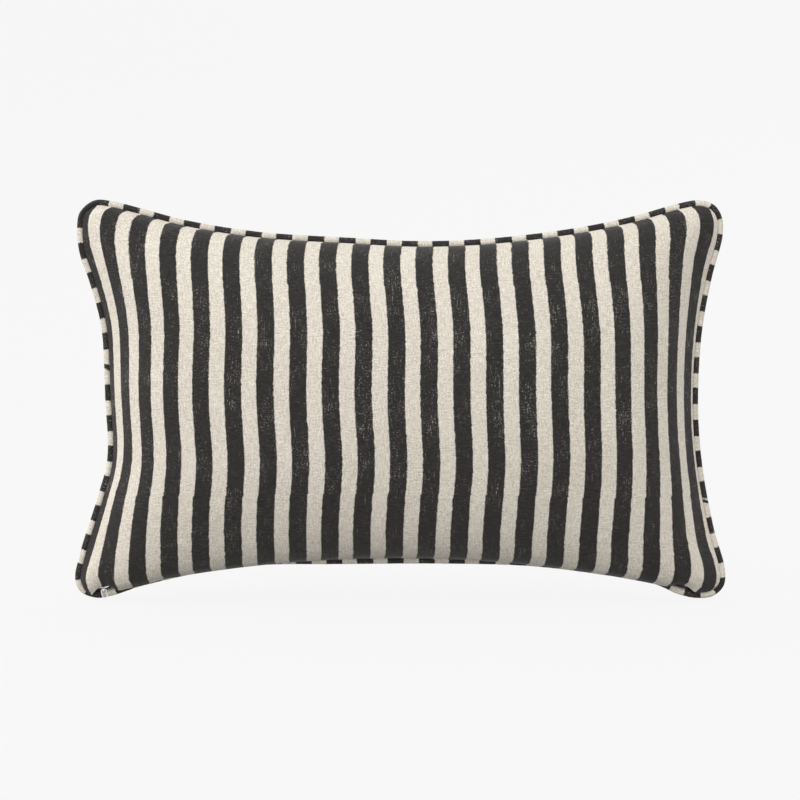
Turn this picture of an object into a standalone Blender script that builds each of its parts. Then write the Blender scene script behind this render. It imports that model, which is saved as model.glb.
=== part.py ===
"""Rectangular throw pillow: piped cover with a hidden zip in its bottom seam, and a filled insert.

Metres, +Z up.  The pillow stands upright on its two bottom corners: width along X, height along Z,
thickness along Y, the front face towards -Y.  The origin is the centre of the base of its box.
"""
import math

import bmesh
import bpy
from mathutils import Vector

MM = 0.001

# Outline of the piping's outer edge, clockwise seen from the front, starting in the top left corner.
# Each side is drawn in between its corners, as the filling pulls it.
OUTLINE_MM = [
    (-249.2, 284), (-246.9, 297), (-235.5, 306.0), (-222, 305.2),
    (-200, 299.8), (-166, 290.8), (-110, 281.8), (-40, 277.2), (15, 274.6), (70, 276.8), (134, 284.6),
    (180, 294.0), (212, 303.2),
    (230, 306.0), (241, 302.2), (246.6, 293.5), (247.4, 279),
    (239.2, 247), (231.5, 205), (228.5, 150), (231.6, 103), (241, 52),
    (248.8, 24), (248.4, 10), (240, 1.6), (227.5, 0),
    (213, 3.0), (195, 10.6), (150, 18.4), (99, 24.4), (30, 26.4), (-50, 26.0), (-108, 25.2), (-143, 21.5),
    (-200, 9.0), (-222, 1.9),
    (-235, 0.2), (-246, 4.6), (-250.6, 14),
    (-246.5, 36), (-233, 79), (-226, 107), (-227.6, 155), (-230.6, 208), (-239, 241), (-247.4, 266),
]
STEPS_PER_SPAN = 2
CENTRE_Z = 150 * MM

# Piping: a cord wrapped in a fabric strip, whose two layers run inwards as a flange.
PIPING_RADIUS = 3.0 * MM
STRIP_THICKNESS = 0.7 * MM
CORD_RADIUS = 1.8 * MM
FLANGE_REACH = 7.4 * MM
FLANGE_INNER = 0.10 * MM
FLANGE_OUTER = 0.45 * MM
STRIP_JOINS = [(-227.8, 176), (235, 78), (157, 17)]
JOIN_GAP = 0.3 * MM

# Cover panels: printed linen, modelled as domed shells.
PANEL_THICKNESS = 1.2 * MM
PANEL_INSET = 3.4 * MM
PANEL_RIM_Y = 0.75 * MM
HALF_THICKNESS = 70 * MM
FLAT_Y = 67 * MM
PANEL_RINGS = (1.0, 0.965, 0.89, 0.76, 0.54, 0.27)
SIDE_FULLNESS = 0.5
CORNER_FLATTENING = 0.36

# Zip: it runs on an arc along the bottom seam, so that the slider can turn about the arc's centre.
ZIP_RADIUS = 1.0
ZIP_CLOSED_END = (-227.7 * MM, 8.0 * MM)
ZIP_OPEN_END = (215.0 * MM, 9.3 * MM)
ZIP_CLEARANCE = 5.8 * MM
ZIP_Y = -4.3 * MM
CHAIN_Y = ZIP_Y - 0.2 * MM
CHAIN_R = 3.2 * MM
COIL_SPACING = 2.8 * MM
COIL_HEIGHT = 1.4 * MM
COIL_DEPTH = 1.7 * MM
TAPE_THICKNESS = 0.35 * MM
CHAIN_STEPS = 26
LIP_R = 1.1 * MM
LIP_RIM_Y = 2.5 * MM - ZIP_Y
LIP_RUNOUT = 12 * MM

# Slider and puller
SLIDER_HALF_LENGTH = 4.5 * MM
SLIDER_HALF_DEPTH = 2.0 * MM
SLIDER_HALF_HEIGHT = 2.9 * MM
SLIDER_GAP = 0.3 * MM
PLATE = 0.8 * MM
SIDE_LIP = 0.5 * MM
TAPE_SLOT = 0.65 * MM
NECK_WIDTH = 0.8 * MM
PIVOT_Y = ZIP_Y - 3.0 * MM
PIVOT_R = -0.6 * MM
LUG_RADIUS = 1.3 * MM
LUG_WIDTH = 1.6 * MM
LUG_HOLE_RADIUS = 0.7 * MM
WIRE_RADIUS = 0.45 * MM
PULLER_WIDTH = 4.8 * MM
PULLER_LENGTH = 7.2 * MM
STOP_LENGTH = 2.0 * MM

# Insert: a plain cotton case with loose filling, a little smaller than the cover.
INSERT_INSET = 18 * MM
INSERT_GAP = 0.8 * MM
TICKING_THICKNESS = 0.8 * MM
INSERT_RIM_Y = 0.6 * MM
INSERT_RINGS = (1.0, 0.93, 0.76, 0.45)
FILL_GAP = 0.4 * MM

THREAD_SIZE = 0.5 * MM
LABEL_WIDTH = 35 * MM
LABEL_DEPTH = 12 * MM
LABEL_X = 30 * MM

# Colour, roughness and metallic value of each material
MATERIALS = {
    "printed_linen": ((0.55, 0.50, 0.43), 0.92, 0.0),
    "cotton_cord": ((0.80, 0.77, 0.70), 0.90, 0.0),
    "zip_tape": ((0.05, 0.05, 0.05), 0.85, 0.0),
    "zip_coil": ((0.04, 0.04, 0.04), 0.45, 0.0),
    "zip_metal": ((0.75, 0.75, 0.74), 0.25, 1.0),
    "thread": ((0.70, 0.66, 0.58), 0.80, 0.0),
    "label_satin": ((0.85, 0.85, 0.83), 0.50, 0.0),
    "ticking": ((0.86, 0.85, 0.82), 0.90, 0.0),
    "filling": ((0.92, 0.91, 0.88), 0.95, 0.0),
}


def clear_scene():
    for item in list(bpy.data.objects):
        bpy.data.objects.remove(item, do_unlink=True)


def material(name):
    found = bpy.data.materials.get(name)
    if found:
        return found
    colour, roughness, metallic = MATERIALS[name]
    made = bpy.data.materials.new(name)
    made.use_nodes = True
    shader = made.node_tree.nodes["Principled BSDF"]
    shader.inputs["Base Color"].default_value = (*colour, 1.0)
    shader.inputs["Roughness"].default_value = roughness
    shader.inputs["Metallic"].default_value = metallic
    return made


def add_object(name, verts, faces, material_name, smooth=True):
    """Make one closed mesh object whose faces point out."""
    mesh = bpy.data.meshes.new(name)
    mesh.from_pydata([tuple(v) for v in verts], [], faces)
    shape = bmesh.new()
    shape.from_mesh(mesh)
    bmesh.ops.recalc_face_normals(shape, faces=shape.faces)
    shape.to_mesh(mesh)
    shape.free()
    mesh.materials.append(material(material_name))
    if smooth:
        mesh.shade_smooth()
        mesh.set_sharp_from_angle(angle=math.radians(40))
    made = bpy.data.objects.new(name, mesh)
    bpy.context.scene.collection.objects.link(made)
    return made


# Outline

def between(first, second, first_knot, second_knot, at):
    share = (at - first_knot) / (second_knot - first_knot)
    return first * (1 - share) + second * share


def spline_point(a, b, c, d, t):
    """Point at t between b and c on the centripetal Catmull-Rom curve through four points."""
    ka = 0.0
    kb = ka + math.sqrt((b - a).length)
    kc = kb + math.sqrt((c - b).length)
    kd = kc + math.sqrt((d - c).length)
    at = kb + (kc - kb) * t
    ab = between(a, b, ka, kb, at)
    bc = between(b, c, kb, kc, at)
    cd = between(c, d, kc, kd, at)
    return between(between(ab, bc, ka, kc, at), between(bc, cd, kb, kd, at), kb, kc, at)


def closed_spline(points, steps):
    count = len(points)
    found = []
    for i in range(count):
        around = [points[(i + shift) % count] for shift in (-1, 0, 1, 2)]
        found += [spline_point(*around, step / steps) for step in range(steps)]
    return found


def inward(loop, i):
    """Unit vector in the XZ plane, from the loop towards its inside."""
    along = loop[(i + 1) % len(loop)] - loop[i - 1]
    return Vector((along.z, 0, -along.x)).normalized()


def inset(loop, distance):
    return [point + inward(loop, i) * distance for i, point in enumerate(loop)]


def with_y(loop, y):
    return [Vector((point.x, y, point.z)) for point in loop]


def shrink(loop, distance):
    """Scale a loop about the pillow's centre, so that its sides move in by about this distance."""
    half_width = max(point.x for point in loop)
    half_height = max(point.z for point in loop) - CENTRE_Z
    across = 1 - distance / half_width
    up = 1 - distance / half_height
    return [Vector((p.x * across, p.y, CENTRE_Z + (p.z - CENTRE_Z) * up)) for p in loop]


# The zip's arc

def arc_centre():
    """Centre of the arc below the pillow, from the arc's two ends and its radius."""
    left = Vector((ZIP_CLOSED_END[0], 0, ZIP_CLOSED_END[1]))
    right = Vector((ZIP_OPEN_END[0], 0, ZIP_OPEN_END[1]))
    chord = right - left
    down = Vector((chord.z, 0, -chord.x)).normalized()
    return (left + right) / 2 + down * math.sqrt(ZIP_RADIUS ** 2 - (chord.length / 2) ** 2)


ARC_CENTRE = arc_centre()


def arc_angle(x):
    """Angle from straight up at which the zip's arc reaches x."""
    return math.asin((x - ARC_CENTRE.x) / ZIP_RADIUS)


def on_arc(angle, y, r):
    """Point at this angle, r outside the zip's line."""
    reach = ZIP_RADIUS + r
    return ARC_CENTRE + Vector((reach * math.sin(angle), y, reach * math.cos(angle)))


def smoothstep(low, high, value):
    t = min(max((value - low) / (high - low), 0.0), 1.0)
    return t * t * (3 - 2 * t)


def above_arc(point):
    return (Vector((point.x, 0, point.z)) - ARC_CENTRE).length - ZIP_RADIUS


def zip_share(point):
    """1 where the seam makes way for the zip, falling to 0 past its ends."""
    left = ZIP_CLOSED_END[0] - SLIDER_HALF_LENGTH - STOP_LENGTH
    right = ZIP_OPEN_END[0] + SLIDER_HALF_LENGTH + STOP_LENGTH
    rising = smoothstep(left - LIP_RUNOUT, left, point.x)
    falling = 1 - smoothstep(right, right + LIP_RUNOUT, point.x)
    beside = 1 - smoothstep(ZIP_CLEARANCE, 3 * ZIP_CLEARANCE, abs(above_arc(point)))
    return rising * falling * beside


def clear_of_zip(point):
    """Move a point of the piping back, so that it keeps its distance from the zip's line."""
    reach = math.sqrt(max(ZIP_CLEARANCE ** 2 - above_arc(point) ** 2, 0.0))
    return Vector((point.x, max(ZIP_Y + reach, 0.0) * zip_share(point), point.z))


# Solids

def sweep_faces(stations, points, closed):
    """Side faces between rings of points, and an end face on each end of an open sweep."""
    faces = []
    spans = stations if closed else stations - 1
    for i in range(spans):
        j = (i + 1) % stations
        for k in range(points):
            n = (k + 1) % points
            faces.append((i * points + k, i * points + n, j * points + n, j * points + k))
    if not closed:
        faces.append(tuple(range(points)))
        faces.append(tuple((stations - 1) * points + k for k in range(points)))
    return faces


def sweep(name, rings, closed, material_name):
    verts = [point for ring in rings for point in ring]
    faces = sweep_faces(len(rings), len(rings[0]), closed)
    return add_object(name, verts, faces, material_name)


def circle_section(radius, sides):
    """(y, inward) points of a round cord."""
    turn = 2 * math.pi / sides
    return [(radius * math.cos(turn * (k + 0.5)), radius * math.sin(turn * (k + 0.5))) for k in range(sides)]


def strip_section():
    """(y, inward) outline of the piping strip: round the cord, with a two-layer flange."""
    inner_radius = PIPING_RADIUS - STRIP_THICKNESS
    angles = [math.radians(a) for a in (62, 12, -40, -90, -140, -192, -242)]
    outside = [(PIPING_RADIUS * math.cos(a), PIPING_RADIUS * math.sin(a)) for a in angles]
    inside = [(inner_radius * math.cos(a), inner_radius * math.sin(a)) for a in reversed(angles)]
    outer_root = PIPING_RADIUS
    inner_root = inner_radius
    return (
        [(FLANGE_OUTER, FLANGE_REACH), (FLANGE_OUTER, outer_root)] + outside
        + [(-FLANGE_OUTER, outer_root), (-FLANGE_OUTER, FLANGE_REACH), (-FLANGE_INNER, FLANGE_REACH)]
        + [(-FLANGE_INNER, inner_root)] + inside + [(FLANGE_INNER, inner_root), (FLANGE_INNER, FLANGE_REACH)]
    )


def placed_ring(loop, i, section):
    into = inward(loop, i)
    return [loop[i] + Vector((0, y, 0)) + into * depth for y, depth in section]


def dome_rings(rim, height, flat, ring_shares, side):
    """Rings of a domed surface over a rim; it is full in the middle, pressed flat there at flat, and
    flatter in the corners."""
    half_width = max(p.x for p in rim)
    half_height = max(p.z for p in rim) - CENTRE_Z
    rings = []
    for share in ring_shares:
        ring = []
        for p in rim:
            corner = abs(p.x / half_width) * abs((p.z - CENTRE_Z) / half_height)
            power = SIDE_FULLNESS + CORNER_FLATTENING * corner ** 2
            rim_y = abs(p.y)
            y = rim_y + (height - rim_y) * (1 - share ** 2) ** power
            place = (p.x * share, side * min(y, flat), CENTRE_Z + (p.z - CENTRE_Z) * share)
            ring.append(Vector(place))
        rings.append(ring)
    return rings, Vector((0, side * flat, CENTRE_Z))


def dome_faces(rings, points, start, apex):
    faces = []
    for i in range(rings - 1):
        for k in range(points):
            n = (k + 1) % points
            near = start + i * points
            far = near + points
            faces.append((near + k, near + n, far + n, far + k))
    last = start + (rings - 1) * points
    faces += [(last + k, last + (k + 1) % points, apex) for k in range(points)]
    return faces


def double_dome(name, first, second, material_name):
    """Closed solid between two domed surfaces whose rims are joined by a band."""
    verts = []
    starts = []
    for rings, apex in (first, second):
        starts.append(len(verts))
        verts += [point for ring in rings for point in ring]
        verts.append(apex)
    points = len(first[0][0])
    faces = []
    for start, (rings, _apex) in zip(starts, (first, second)):
        faces += dome_faces(len(rings), points, start, start + len(rings) * points)
    for k in range(points):
        n = (k + 1) % points
        faces.append((starts[0] + k, starts[0] + n, starts[1] + n, starts[1] + k))
    return add_object(name, verts, faces, material_name)


def arc_sweep(name, section, first_x, last_x, steps, material_name):
    """Sweep a section of (y, r) points along the zip's arc."""
    first = arc_angle(first_x)
    last = arc_angle(last_x)
    angles = [first + (last - first) * i / steps for i in range(steps + 1)]
    rings = [[on_arc(angle, y, r) for y, r in section] for angle in angles]
    return sweep(name, rings, False, material_name)


def box_section(y, r, half_depth, half_height):
    return [
        (y - half_depth, r - half_height), (y + half_depth, r - half_height),
        (y + half_depth, r + half_height), (y - half_depth, r + half_height),
    ]


def band_section(path, thickness):
    """Closed outline of a thin band along a path of (y, r) points."""
    half = thickness / 2
    sides = ([], [])
    for i, here in enumerate(path):
        before = Vector(path[max(i - 1, 0)])
        after = Vector(path[min(i + 1, len(path) - 1)])
        along = (after - before).normalized()
        across = Vector((-along.y, along.x)) * half
        sides[0].append(tuple(Vector(here) + across))
        sides[1].append(tuple(Vector(here) - across))
    return sides[0] + sides[1][::-1]


# Pieces

def make_piping(line):
    sweep("piping_cord", [placed_ring(line, i, circle_section(CORD_RADIUS, 6)) for i in range(len(line))],
          True, "cotton_cord")
    count = len(line)
    joins = []
    for x, z in STRIP_JOINS:
        wanted = Vector((x * MM, 0, z * MM))
        joins.append(min(range(count), key=lambda i: (with_y([line[i]], 0)[0] - wanted).length))
    names = ("piping_strip_top", "piping_strip_right", "piping_strip_bottom")
    for name, first, last in zip(names, joins, joins[1:] + joins[:1]):
        length = (last - first) % count
        order = [(first + step) % count for step in range(length + 1)]
        rings = [placed_ring(line, i, strip_section()) for i in order]
        for end, nearby in ((0, 1), (-1, -2)):
            for k, point in enumerate(rings[end]):
                towards = (rings[nearby][k] - point).normalized()
                rings[end][k] = point + towards * (JOIN_GAP / 2)
        sweep(name, rings, False, "printed_linen")


def make_panels(line):
    rim = inset(line, PANEL_INSET)
    inner_height = HALF_THICKNESS - PANEL_THICKNESS
    inner_flat = FLAT_Y - PANEL_THICKNESS
    back_outer = [Vector((p.x, q.y + PANEL_RIM_Y + PANEL_THICKNESS, p.z)) for p, q in zip(rim, line)]
    back_inner = [Vector((p.x, q.y + PANEL_RIM_Y, p.z)) for p, q in zip(shrink(rim, PANEL_THICKNESS), line)]
    double_dome(
        "back_panel",
        dome_rings(back_outer, HALF_THICKNESS, FLAT_Y, PANEL_RINGS, 1),
        dome_rings(back_inner, inner_height, inner_flat, PANEL_RINGS, 1),
        "printed_linen",
    )
    front_outer = []
    front_inner = []
    for p in rim:
        share = zip_share(p)
        lip = on_arc(arc_angle(p.x), 0, LIP_R)
        place = p.lerp(lip, share)
        y = PANEL_RIM_Y + (LIP_RIM_Y - PANEL_RIM_Y) * share
        front_outer.append(Vector((place.x, -y - PANEL_THICKNESS, place.z)))
        front_inner.append(Vector((place.x, -y, place.z)))
    front_inner = shrink(front_inner, PANEL_THICKNESS)
    double_dome(
        "front_panel",
        dome_rings(front_outer, HALF_THICKNESS, FLAT_Y, PANEL_RINGS, -1),
        dome_rings(front_inner, inner_height, inner_flat, PANEL_RINGS, -1),
        "printed_linen",
    )


def make_insert(line):
    """The case's two halves and its filling follow every other point of the outline."""
    seam = shrink(with_y(line[::2], 0), INSERT_INSET)
    outer_seam = with_y(seam, INSERT_RIM_Y + TICKING_THICKNESS)
    inner_seam = with_y(shrink(seam, TICKING_THICKNESS), INSERT_RIM_Y)
    outer_height = HALF_THICKNESS - PANEL_THICKNESS - INSERT_GAP - 3 * MM
    inner_height = outer_height - TICKING_THICKNESS
    for name, side in (("insert_front", -1), ("insert_back", 1)):
        outer = dome_rings(outer_seam, outer_height, outer_height, INSERT_RINGS, side)
        inner = dome_rings(inner_seam, inner_height, inner_height, INSERT_RINGS, side)
        double_dome(name, outer, inner, "ticking")
    fill_rim = shrink(inner_seam, 3 * MM)
    fill_height = inner_height - FILL_GAP - 1 * MM
    front = dome_rings(fill_rim, fill_height, fill_height, INSERT_RINGS, -1)
    back = dome_rings(fill_rim, fill_height, fill_height, INSERT_RINGS, 1)
    double_dome("insert_fill", front, back, "filling")
    thread = shrink(seam, 0.6 * MM)
    section = circle_section(THREAD_SIZE / 2, 3)
    sweep("insert_seam_thread", [placed_ring(thread, i, section) for i in range(len(thread))], True, "thread")


def make_overlock(line):
    edge = inset(line, FLANGE_REACH + JOIN_GAP + THREAD_SIZE / 2)
    rings = [placed_ring(edge, i, circle_section(THREAD_SIZE / 2, 3)) for i in range(len(edge))]
    sweep("overlock_thread", rings, True, "thread")


def make_zip():
    stop_gap = SLIDER_HALF_LENGTH + SLIDER_GAP
    closed_x = ZIP_CLOSED_END[0] - stop_gap
    open_x = ZIP_OPEN_END[0] + stop_gap
    half = COIL_SPACING / 2
    coils = (("zip_coil_front", CHAIN_R + half), ("zip_coil_back", CHAIN_R - half))
    for name, r in coils:
        section = box_section(CHAIN_Y, r, COIL_DEPTH / 2, COIL_HEIGHT / 2)
        arc_sweep(name, section, closed_x, open_x, CHAIN_STEPS, "zip_coil")
    above = CHAIN_R + half + COIL_HEIGHT / 2 + JOIN_GAP
    below = CHAIN_R - half - COIL_HEIGHT / 2 - JOIN_GAP
    front_path = [(CHAIN_Y, above), (CHAIN_Y, above + 1.1 * MM), (CHAIN_Y - 3.4 * MM, above + 5.0 * MM)]
    back_path = [
        (CHAIN_Y, below), (CHAIN_Y, below - 1.4 * MM),
        (ZIP_Y + 2.3 * MM, below - 1.4 * MM), (ZIP_Y + 2.3 * MM, below + 7.0 * MM),
    ]
    for name, path in (("zip_tape_front", front_path), ("zip_tape_back", back_path)):
        arc_sweep(name, band_section(path, TAPE_THICKNESS), closed_x, open_x, CHAIN_STEPS, "zip_tape")
    for name, r in (("zip_top_stop_front", CHAIN_R + half), ("zip_top_stop_back", CHAIN_R - half)):
        section = box_section(CHAIN_Y, r, COIL_DEPTH / 2, COIL_HEIGHT / 2)
        last_x = closed_x - JOIN_GAP
        arc_sweep(name, section, last_x - STOP_LENGTH + JOIN_GAP, last_x, 1, "zip_metal")
    section = box_section(CHAIN_Y, CHAIN_R, COIL_DEPTH / 2, half + COIL_HEIGHT / 2)
    arc_sweep("zip_bottom_stop", section, open_x + JOIN_GAP, open_x + STOP_LENGTH, 1, "zip_metal")


def slider_section():
    """(y, r) outline of the slider's body: two plates with lips, joined by the neck."""
    plate = SLIDER_HALF_DEPTH - PLATE
    lip = SLIDER_HALF_HEIGHT - SIDE_LIP
    quarter = [
        (plate, NECK_WIDTH / 2), (plate, lip), (TAPE_SLOT, lip),
        (TAPE_SLOT, SLIDER_HALF_HEIGHT), (SLIDER_HALF_DEPTH, SLIDER_HALF_HEIGHT),
    ]
    outline = []
    for y_sign, r_sign in ((1, 1), (1, -1), (-1, -1), (-1, 1)):
        points = [(CHAIN_Y + y_sign * y, CHAIN_R + r_sign * r) for y, r in quarter]
        outline += points if y_sign == r_sign else points[::-1]
    return outline


def lug_section():
    """(y, r) outline of the lug that carries the puller: an eye, with a web up to the front plate."""
    angles = [math.radians(75 + 245 * k / 9) for k in range(10)]
    eye = [(PIVOT_Y + LUG_RADIUS * math.cos(a), PIVOT_R + LUG_RADIUS * math.sin(a)) for a in angles]
    inner = CHAIN_Y - SLIDER_HALF_DEPTH + PLATE - 0.1 * MM
    outer = CHAIN_Y - SLIDER_HALF_DEPTH + 0.1 * MM
    foot = CHAIN_R - SLIDER_HALF_HEIGHT
    return eye + [(inner, foot + 0.1 * MM), (inner, foot + 1.2 * MM), (outer, foot + 1.2 * MM)]


def hang_from(piece, name, place, parent=None):
    """Parent a piece to an empty on its joint's axis, without moving it."""
    axis = bpy.data.objects.new(name, None)
    bpy.context.scene.collection.objects.link(axis)
    axis.location = place
    if parent:
        axis.parent = parent
        axis.location = place - parent.location
    for vertex in piece.data.vertices:
        vertex.co -= place
    piece.parent = axis
    return axis


def hide_tool(piece):
    piece.hide_render = True
    piece.display_type = "WIRE"


def make_slider():
    """The slider at the closed end, with its lug bored for the puller's wire."""
    x = ZIP_CLOSED_END[0]
    slider = arc_sweep("zip_slider", slider_section(), x - SLIDER_HALF_LENGTH, x + SLIDER_HALF_LENGTH,
                       1, "zip_metal")
    half_width = LUG_WIDTH / 2
    lug = arc_sweep("lug_tool", lug_section(), x - half_width, x + half_width, 1, "zip_metal")
    bore_section = [
        (PIVOT_Y + y, PIVOT_R + r) for y, r in circle_section(LUG_HOLE_RADIUS, 12)
    ]
    bore = arc_sweep("bore_tool", bore_section, x - 2 * half_width, x + 2 * half_width, 1, "zip_metal")
    for tool, operation in ((lug, "UNION"), (bore, "DIFFERENCE")):
        hide_tool(tool)
        joined = slider.modifiers.new(tool.name, "BOOLEAN")
        joined.operation = operation
        joined.object = tool
    axis = hang_from(slider, "zip_travel_axis", ARC_CENTRE)
    return axis


def make_puller(travel_axis):
    """A closed wire loop: its straight top passes through the slider's lug."""
    angle = arc_angle(ZIP_CLOSED_END[0])
    pivot = on_arc(angle, PIVOT_Y, PIVOT_R)
    along = Vector((math.cos(angle), 0, -math.sin(angle)))
    down = Vector((-math.sin(angle), 0, -math.cos(angle)))
    half_width = PULLER_WIDTH / 2 - WIRE_RADIUS
    length = PULLER_LENGTH - 2 * WIRE_RADIUS
    shoulder = 0.9 * MM
    line = [(0.0, 0.0)]
    for centre, radius, first, last, steps in (
        ((half_width - shoulder, shoulder), shoulder, -90, 0, 3),
        ((0.0, length - half_width), half_width, 0, 180, 10),
        ((shoulder - half_width, shoulder), shoulder, 180, 270, 3),
    ):
        for step in range(steps + 1):
            a = math.radians(first + (last - first) * step / steps)
            line.append((centre[0] + radius * math.cos(a), centre[1] + radius * math.sin(a)))
    rings = []
    for i, (u, v) in enumerate(line):
        before = Vector(line[i - 1])
        after = Vector(line[(i + 1) % len(line)])
        tangent = (after - before).normalized()
        across = along * tangent.y - down * tangent.x
        ring = []
        for y, outward in circle_section(WIRE_RADIUS, 6):
            ring.append(pivot + along * u + down * v + Vector((0, y, 0)) + across * outward)
        rings.append(ring)
    puller = sweep("zip_puller", rings, True, "zip_metal")
    hang_from(puller, "puller_axis", pivot, travel_axis)


def make_label(line):
    """A blank satin care label, sewn flat to the edge of the seam inside the cover."""
    half = LABEL_WIDTH / 2
    seam = [p for p in line if abs(p.x - LABEL_X) < half + 10 * MM and p.z < CENTRE_Z]
    low = max(p.z for p in seam) + FLANGE_REACH + 2 * THREAD_SIZE
    thickness = 0.4 * MM
    near = max(p.y for p in seam)
    corners = [(LABEL_X + sx * half, y) for sx, y in ((-1, near), (1, near), (1, near + LABEL_DEPTH),
                                                      (-1, near + LABEL_DEPTH))]
    rings = [[Vector((x, y, z)) for x, y in corners] for z in (low, low + thickness)]
    sweep("care_label", rings, False, "label_satin")


def main():
    clear_scene()
    edge = closed_spline([Vector((x * MM, 0, z * MM)) for x, z in OUTLINE_MM], STEPS_PER_SPAN)
    line = [clear_of_zip(point) for point in inset(edge, PIPING_RADIUS)]
    make_piping(line)
    make_panels(line)
    make_insert(line)
    make_overlock(line)
    make_zip()
    travel_axis = make_slider()
    make_puller(travel_axis)
    make_label(line)


main()
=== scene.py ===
"""Looks of the striped throw pillow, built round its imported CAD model.

Metres, +Z up, front face towards -Y.  The cover's two panels are cut flat, sewn to the piped seam
and inflated with a cloth simulation; every other soft piece is built along that same seam.
"""
import math

import bpy
import numpy as np
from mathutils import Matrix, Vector, noise


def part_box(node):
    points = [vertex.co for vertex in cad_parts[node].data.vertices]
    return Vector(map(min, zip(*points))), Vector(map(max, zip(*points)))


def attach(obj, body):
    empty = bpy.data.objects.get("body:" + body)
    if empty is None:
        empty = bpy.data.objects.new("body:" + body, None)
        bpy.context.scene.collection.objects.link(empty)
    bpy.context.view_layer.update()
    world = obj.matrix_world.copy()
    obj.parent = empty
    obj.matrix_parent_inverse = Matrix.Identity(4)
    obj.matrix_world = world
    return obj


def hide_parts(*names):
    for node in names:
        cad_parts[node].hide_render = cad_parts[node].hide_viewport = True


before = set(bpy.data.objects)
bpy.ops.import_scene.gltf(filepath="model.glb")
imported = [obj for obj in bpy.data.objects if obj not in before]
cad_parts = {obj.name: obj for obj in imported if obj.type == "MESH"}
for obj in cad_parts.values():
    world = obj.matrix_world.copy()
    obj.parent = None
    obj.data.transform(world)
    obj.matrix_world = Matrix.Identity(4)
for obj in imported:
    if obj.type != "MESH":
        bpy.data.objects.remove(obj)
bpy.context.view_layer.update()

MM = 0.001

# Outer edge of the piping, clockwise seen from the front, starting in the top left corner.
OUTLINE_MM = [
    (-249.2, 284), (-246.9, 297), (-235.5, 306.0), (-222, 305.2),
    (-200, 299.8), (-166, 290.8), (-110, 281.8), (-40, 277.2), (15, 274.6), (70, 276.8), (134, 284.6),
    (180, 294.0), (212, 303.2),
    (230, 306.0), (241, 302.2), (246.6, 293.5), (247.4, 279),
    (239.2, 247), (231.5, 205), (228.5, 150), (231.6, 103), (241, 52),
    (248.8, 24), (248.4, 10), (240, 1.6), (227.5, 0),
    (213, 3.0), (195, 10.6), (150, 18.4), (99, 24.4), (30, 26.4), (-50, 26.0), (-108, 25.2), (-143, 21.5),
    (-200, 9.0), (-222, 1.9),
    (-235, 0.2), (-246, 4.6), (-250.6, 14),
    (-246.5, 36), (-233, 79), (-226, 107), (-227.6, 155), (-230.6, 208), (-239, 241), (-247.4, 266),
]
STEPS_PER_SPAN = 16
CENTRE_Z = 150 * MM

PIPING_RADIUS = 3.0 * MM
STRIP_THICKNESS = 0.7 * MM
FLANGE_REACH = 7.4 * MM
FLANGE_INNER = 0.10 * MM
FLANGE_OUTER = 0.45 * MM

# The zip's arc beside the bottom seam, from the slider's closed place to its open one
ZIP_RADIUS = 1.0
ZIP_CLOSED_END = (-227.7 * MM, 8.0 * MM)
ZIP_OPEN_END = (215.0 * MM, 9.3 * MM)
ZIP_CLEARANCE = 5.8 * MM
ZIP_Y = -4.3 * MM
CHAIN_Y = ZIP_Y - 0.2 * MM
CHAIN_R = 3.2 * MM
ZIP_END_ROOM = 6.5 * MM
LIP_RUNOUT = 12 * MM

# Flat cut of each cover panel, seam to seam, and the cloth grid laid over it
CUT_WIDTH = 490 * MM
CUT_HEIGHT = 305 * MM
CUT_CORNER = 15 * MM
CORNER_POINTS = 19
GRID_ACROSS = 110
GRID_UP = 68
CLOTH_THICKNESS = 0.8 * MM
RIM_INSET = 2.0 * MM
RIM_Y = 3.5 * MM
CROWN = 68 * MM
CLOTH_FRAMES = 30
CLOTH_SETTINGS = {
    "quality": 8, "mass": 0.05, "air_damping": 2.0,
    "tension_stiffness": 60, "compression_stiffness": 30, "shear_stiffness": 12, "bending_stiffness": 3.0,
    "tension_damping": 20, "compression_damping": 20, "shear_damping": 20, "bending_damping": 2,
    "use_pressure": True, "uniform_pressure_force": 6, "vertex_group_mass": "held", "pin_stiffness": 1,
}
# Passes that even out the cloth's strain, the ends' share of it, and how the pillow's ends fall away
EVENING = 3
EDGE_SHARE = 0.5
EASE = 0.8
EASE_REACH = 18 * MM
EASE_RUNOUT = 40 * MM
FINENESS = 2

# Welt over the zip: how far in front of the seam its edge hangs, and how high above the zip's line
WELT_Y = 8.0 * MM
WELT_DROOP = -1.9 * MM
WELT_OPEN = 1.4 * MM
WELT_OPENING = 4.8 * MM
WELT_RISE = 6 * MM
WELT_CORNER = (-200 * MM, -180 * MM)
WELT_CORNER_DROOP = 1.8 * MM

# Turned-in edge of the panels beside the piping
TURN_IN = 3.0 * MM
TURN_IN_Y = 0.6 * MM

# Piping strips: name, CAD node, (x, z) of both ends, place of one dark dash and the dashes' period
STRIP_LEFT_JOIN = (-227.8 * MM, 176 * MM)
STRIP_RIGHT_JOIN = (235 * MM, 78 * MM)
STRIP_LOW_JOIN = (157 * MM, 17 * MM)
STRIPS = (
    ("piping_top", "piping_strip_top", STRIP_LEFT_JOIN, STRIP_RIGHT_JOIN, 52.4 * MM, 24.03 * MM),
    ("piping_right", "piping_strip_right", STRIP_RIGHT_JOIN, STRIP_LOW_JOIN, 753.0 * MM, 23.8 * MM),
    ("piping_low", "piping_strip_bottom", STRIP_LOW_JOIN, STRIP_LEFT_JOIN, 914.3 * MM, 23.5 * MM),
)
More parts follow.
